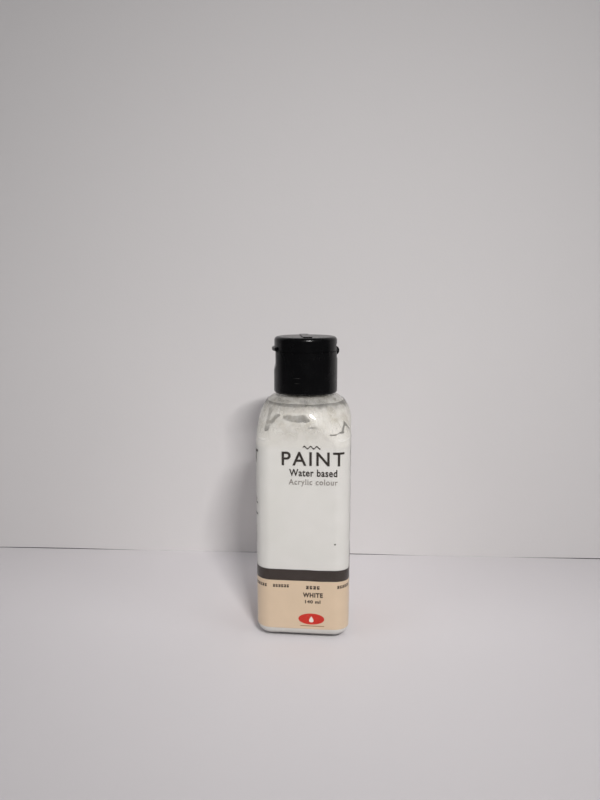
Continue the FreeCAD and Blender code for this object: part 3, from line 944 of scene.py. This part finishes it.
def make_headline(face):
    """The block of large words on a face: a wavy rule, the headline and two lines under it."""
    middle = face_middle(face)
    line = WAVE["half_line"]
    xs = np.linspace(0, WAVE["length"], WAVE["points"])
    wave = [(x, WAVE["high"] * math.sin(x * WAVE["turns"])) for x in xs]
    wavy = [(x, y + line) for x, y in wave] + [(x, y - line) for x, y in reversed(wave)]
    dark = {"ink": TEXT_INK, "slot": "dark_ink"}
    grey = {"ink": GREY_INK, "slot": "grey_ink"}
    rule = plate([wavy])
    wrapped(f"rule_{face}", rule, middle - 0.7, up=87.6, width=WAVE["length"], height=1.6, **dark)
    headline = word("PAINT", 0.012, 1.2)
    wrapped(f"headline_{face}", headline, middle, up=82.7, width=26.8, height=6.0, **dark)
    subtitle = word("Water based", 0.02, 1.1)
    wrapped(f"subtitle_{face}", subtitle, middle, up=76.6, width=20.4, height=3.2, **dark)
    caption = word("Acrylic colour", 0.01, 1.15)
    wrapped(f"caption_{face}", caption, middle, up=72.2, width=20.8, height=3.3, **grey)


def make_panel_marks(face):
    """What is printed on the beige panel of a face."""
    middle = face_middle(face)
    code = {"ink": CODE_INK, "slot": "dark_ink"}
    wrapped(f"code_{face}", plate(blocks(4)), middle, up=24.9, width=5.9, height=1.6, **code)
    shade = word("WHITE", 0.055, 1.15)
    wrapped(f"shade_{face}", shade, middle, up=21.4, width=8.8, height=2.2, **code)
    content = word("140 ml", 0.05, 1.15)
    wrapped(f"content_{face}", content, middle, up=18.3, width=6.8, height=1.6, **code)
    for side, at in (("left", -14.0), ("right", 14.2)):
        marks = plate(blocks(6))
        wrapped(f"code_{side}_{face}", marks, middle + at, up=25.3, width=7.0, height=1.4, **code)
    badge = {"width": 11.4, "height": 5.2}
    drop_size = {"width": 2.0, "height": 2.9}
    rule = {"width": 10.6, "height": 0.4}
    red = {"ink": RED_INK, "slot": "red_ink"}
    white = {"ink": WHITE_INK, "slot": "white_paint", "out": DROP_OVER}
    tan = {"ink": RULE_INK, "slot": "grey_ink"}
    wrapped(f"badge_{face}", plate([oval(**badge)]), middle - 0.6, up=10.2, **badge, **red)
    mark = plate([drop(**drop_size)])
    wrapped(f"badge_drop_{face}", mark, middle - 0.6, up=10.1, **drop_size, **white)
    wrapped(f"badge_rule_{face}", plate([pill(0, 0, **rule)]), middle - 0.2, up=6.9, **rule, **tan)


def make_side_text(face, seed):
    dark = {"ink": TEXT_INK, "slot": "dark_ink"}
    for block, part in enumerate(FINE_PRINT):
        bars = fine_print(part["wide"], part["lines"], LINE_PITCH, seed + block)
        width, height = size_of(bars)
        name = f"fine_print_{face}_{block}"
        middle = face_middle(face) + 3.4
        wrapped(name, plate(bars), middle, part["top"] - height / 2, width, height, **dark)


def make_fleck():
    """A dark speck on the front."""
    size = {"width": 0.8, "height": 0.6}
    speck = plate([oval(count=12, **size)])
    wrapped("fleck", speck, 14.4, up=45.0, ink=TEXT_INK, slot="dark_ink", **size)


# ---------------------------------------------------------------- cap

def hinge_frame():
    """Rotation from the cap's own axes to the frame's, and the hinge's place in the cap's axes."""
    joint = next(j for j in frame["joints"] if j["name"] == "lid_flip")
    spot = Vector(joint["pos_m"]) / MM
    turn = math.atan2(spot.y, spot.x)
    return Matrix.Rotation(turn, 3, "Z"), Vector((math.hypot(spot.x, spot.y), 0, spot.z))


def ribbon(name, path, half_width, half_film, shift, to_frame):
    """A strip along a path in the cap's XZ plane, shifted along Y, with rounded edges."""
    section = []
    for side, start in ((1, -90), (-1, 90)):
        for n in range(5):
            lean = math.radians(start + 180 * n / 4)
            across = side * (half_width - half_film) + half_film * math.cos(lean)
            section.append((across, half_film * math.sin(lean)))
    rings = []
    for n, p in enumerate(path):
        before = path[max(0, n - 1)]
        after = path[min(len(path) - 1, n + 1)]
        run = (after - before).normalized()
        out = Vector((run.z, 0, -run.x))
        rings.append([to_frame @ (p + out * b + Vector((0, a + shift, 0))) for a, b in section])
    points, faces, slots = skin(rings, False)
    strip = add_mesh(name, points, faces, [BLACK])
    sharp_by_angle(strip, 60)
    return strip


WEB = {"half_high": 0.9, "half_width": 1.0, "half_film": 0.17, "at": 3.1}
STRAP = {"bulge": 1.2, "half_high": 1.6, "half_width": 1.8, "half_film": 0.38}


def make_hinge():
    to_frame, axis = hinge_frame()
    for side, name in ((-1, "front"), (1, "rear")):
        heights = np.linspace(-WEB["half_high"], WEB["half_high"], 15)
        path = [Vector((axis.x, 0, axis.z + z)) for z in heights]
        size = (WEB["half_width"], WEB["half_film"])
        web = ribbon(f"film_hinge_{name}", path, *size, side * WEB["at"], to_frame)
        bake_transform(web)
        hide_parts(f"hinge_web_{name}")
    bow = []
    for lean in np.linspace(-math.pi / 2, math.pi / 2, 33):
        out = STRAP["bulge"] * math.cos(lean) ** 1.2
        bow.append(Vector((axis.x + out, 0, axis.z + STRAP["half_high"] * math.sin(lean))))
    strap = ribbon("snap_strap", bow, STRAP["half_width"], STRAP["half_film"], 0.0, to_frame)
    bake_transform(strap)
    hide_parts("spring_strap")


def dress_nodes():
    """Finishes for the CAD's own solids that stay."""
    for node, material in (("cap_body", BLACK), ("flip_lid", BLACK), ("seal_gasket", FOAM)):
        thing = frame["nodes"][node]
        thing.data.materials.clear()
        thing.data.materials.append(material)


# ---------------------------------------------------------------- stage

# The camera stands a little right of the front and looks down slightly, like a phone's.
CAMERA_AT = Vector((22.6, -281.5, 152.0))
CAMERA_DOWN = 0.167
CAMERA_TURN = 0.089
FOCAL_LENGTH = 28.8
AIM = Vector((0, 0, 55))  # what the lights point at
WALL_AT = 75.0
WALL_TURN = math.radians(2.3)
WALL_HALF = 1500
WALL_TOP = 1200
WALL_FOOT = 1.6
WALL_COLUMNS = 400
WALL_GAP = {"mean": 0.22, "wave": 0.28, "pitch": 165, "shift": 5, "least": 0.05}
GAP_SHADE_BEHIND = 0.1
GAP_SHADE_LOW = 0.01
FLOOR_AT = Vector((0, -150, 0))
FLOOR_HALF = (1500, 260)


def stage_material_painted_falloff(name, colour, middle, falloff_mm, edge, one_sided=False):
    """A sheet whose colour darkens by edge over a distance from its middle: painted shade for the
    lamps' falloff.

    A one-sided sheet is clear from behind.
    """
    n = Nodes(name)
    shader = n.add("ShaderNodeBsdfPrincipled", {"Roughness": 0.85, "Specular IOR Level": 0.25})
    squeezed = n.times(n.place, (0.45, 1, 1))
    away = n.fill(n.add("ShaderNodeVectorMath", {"operation": "DISTANCE"}), (squeezed, middle * MM))
    uneven = n.calc("MULTIPLY_ADD", n.noise(6, 2.0), 0.02, away.outputs["Value"])
    dark = tuple(c * (1 - edge) for c in colour)
    # Painted shade: the base colour darkens away from the middle, as the lamps' light falls off.
    n.link(n.ramp(uneven, 0.02, falloff_mm * MM, (colour, dark)), shader, "Base Color")
    n.link(n.bump(n.noise(700, 4.0), 0.00004), shader, "Normal")
    if not one_sided:
        return n.finish(shader)
    behind = n.add("ShaderNodeNewGeometry").outputs["Backfacing"]
    return n.finish(n.mixed(behind, shader, n.add("ShaderNodeBsdfTransparent")))


def stage_sheet(name, points, faces, at, material):
    mesh = bpy.data.meshes.new(name)
    mesh.from_pydata([tuple(p * MM) for p in points], [], faces)
    mesh.materials.append(material)
    thing = new_object(name, mesh)
    thing.location = at * MM


def make_floor(material):
    wide, deep = FLOOR_HALF
    corners = [(-1, -1), (1, -1), (1, 1), (-1, 1)]
    points = [Vector((x * wide, y * deep, 0)) for x, y in corners]
    stage_sheet("floor", points, [(0, 1, 2, 3)], FLOOR_AT, material)


def wall_edge(x):
    """Height of the wall's lower edge, which stands off the floor here and there."""
    wave = math.cos(2 * math.pi * (x - WALL_GAP["shift"]) / WALL_GAP["pitch"])
    return max(WALL_GAP["least"], WALL_GAP["mean"] + WALL_GAP["wave"] * wave)


def make_wall(wall, joint):
    """The wall, and a dark sheet just behind its lower edge, which shows in the gap under the wall as
    a painted shadow line.
    """
    turn = Matrix.Rotation(WALL_TURN, 3, "Z")
    sheets = (
        ("wall", wall, 0.0, wall_edge, WALL_TOP),
        # painted shadow: a dark sheet seen through the gap under the wall
        ("wall_gap_shade", joint, GAP_SHADE_BEHIND, lambda x: GAP_SHADE_LOW, WALL_FOOT),
    )
    faces = [(2 * n, 2 * n + 2, 2 * n + 3, 2 * n + 1) for n in range(WALL_COLUMNS)]
    for name, material, offset, low, top in sheets:
        points = []
        for n in range(WALL_COLUMNS + 1):
            x = WALL_HALF * (2 * n / WALL_COLUMNS - 1)
            points += [turn @ Vector((x, offset, low(x))), turn @ Vector((x, offset, top))]
        stage_sheet(name, points, faces, Vector((0, WALL_AT, 0)), material)


def direction(azimuth, elevation):
    """Unit vector towards a place round the object. Azimuth 0 is in front and 90 at the right."""
    a, e = math.radians(azimuth), math.radians(elevation)
    return Vector((math.sin(a) * math.cos(e), -math.cos(a) * math.cos(e), math.sin(e)))


def add_light(name, at, target, size, power, colour, spread):
    data = bpy.data.lights.new(name, "AREA")
    data.shape = "DISK"
    data.size = size * MM
    data.energy = power
    data.color = colour
    data.spread = math.radians(spread)
    light = new_object(name, data)
    light.location = at * MM
    light.rotation_euler = (target - at).to_track_quat("-Z", "Y").to_euler()
    return light


KEY_SIZE = (110, 16)
KEY_SPREAD = 90
FILL_SPREAD = 130
WARM = (1.0, 0.985, 0.97)
COOL = (0.98, 0.985, 1.0)
CEILING_COLOUR = (0.97, 0.98, 1.0)


def make_lights():
    """A narrow key light that makes the highlight, and soft fills that don't show in the gloss."""
    wide, high = KEY_SIZE
    key_at = AIM + direction(19, 38) * 600
    key = add_light("key", key_at, AIM - Vector((18, 0, 0)), wide, 0.64, WARM, KEY_SPREAD)
    key.data.shape = "RECTANGLE"
    key.data.size_y = high * MM
    fills = (  # name, place seen from the aim, size, power and colour
        ("left_fill", direction(-62, 22) * 800, 560, 0.64, COOL),
        ("right_fill", direction(70, 20) * 800, 400, 0.62, COOL),
        ("ceiling", direction(0, 80) * 900, 700, 0.65, CEILING_COLOUR),
    )
    for name, away, size, power, colour in fills:
        fill = add_light(name, AIM + away, AIM, size, power, colour, FILL_SPREAD)
        fill.visible_glossy = False


def make_world():
    world = bpy.data.worlds.new("soft_room")
    bpy.context.scene.world = world
    world.use_nodes = True
    background = world.node_tree.nodes["Background"]
    background.inputs["Color"].default_value = (0.93, 0.94, 0.97, 1.0)
    background.inputs["Strength"].default_value = 0.04


def make_camera():
    data = bpy.data.cameras.new("camera")
    data.sensor_width = 36.0
    data.lens = FOCAL_LENGTH
    data.clip_start = 0.01
    camera = new_object("camera", data)
    camera.location = CAMERA_AT * MM
    camera.rotation_euler = Euler((math.pi / 2 - CAMERA_DOWN, 0, CAMERA_TURN))
    bpy.context.scene.camera = camera


def make_stage():
    ahead = Vector((0, 180, 0))
    low = Vector((0, 0, 20))
    wall_colour = linear(214, 211, 211)
    # Floor, wall and gap sheet: colour darkened away from a middle, painted shade for the lamps'
    # falloff.
    make_floor(stage_material_painted_falloff("pale_floor", linear(222, 218, 220), ahead, 250, edge=0.4))
    wall = stage_material_painted_falloff("pale_wall", wall_colour, low, 300, edge=0.12, one_sided=True)
    # A dark sheet just behind the wall's foot: painted shadow in the gap under the wall.
    joint = stage_material_painted_falloff("gap_shade_sheet", linear(40, 38, 38), low, 300, edge=0.12)
    make_wall(wall, joint)
    make_lights()
    make_world()
    make_camera()
    bpy.context.scene.view_settings.view_transform = "Standard"


make_bottle()
make_paint()
make_coat()
make_sleeve()
make_bands()
for face_name in ("front", "left", "right", "back"):
    make_headline(face_name)
    make_panel_marks(face_name)
make_fleck()
make_side_text("left", 11)
make_side_text("right", 23)
make_hinge()
dress_nodes()
make_stage()
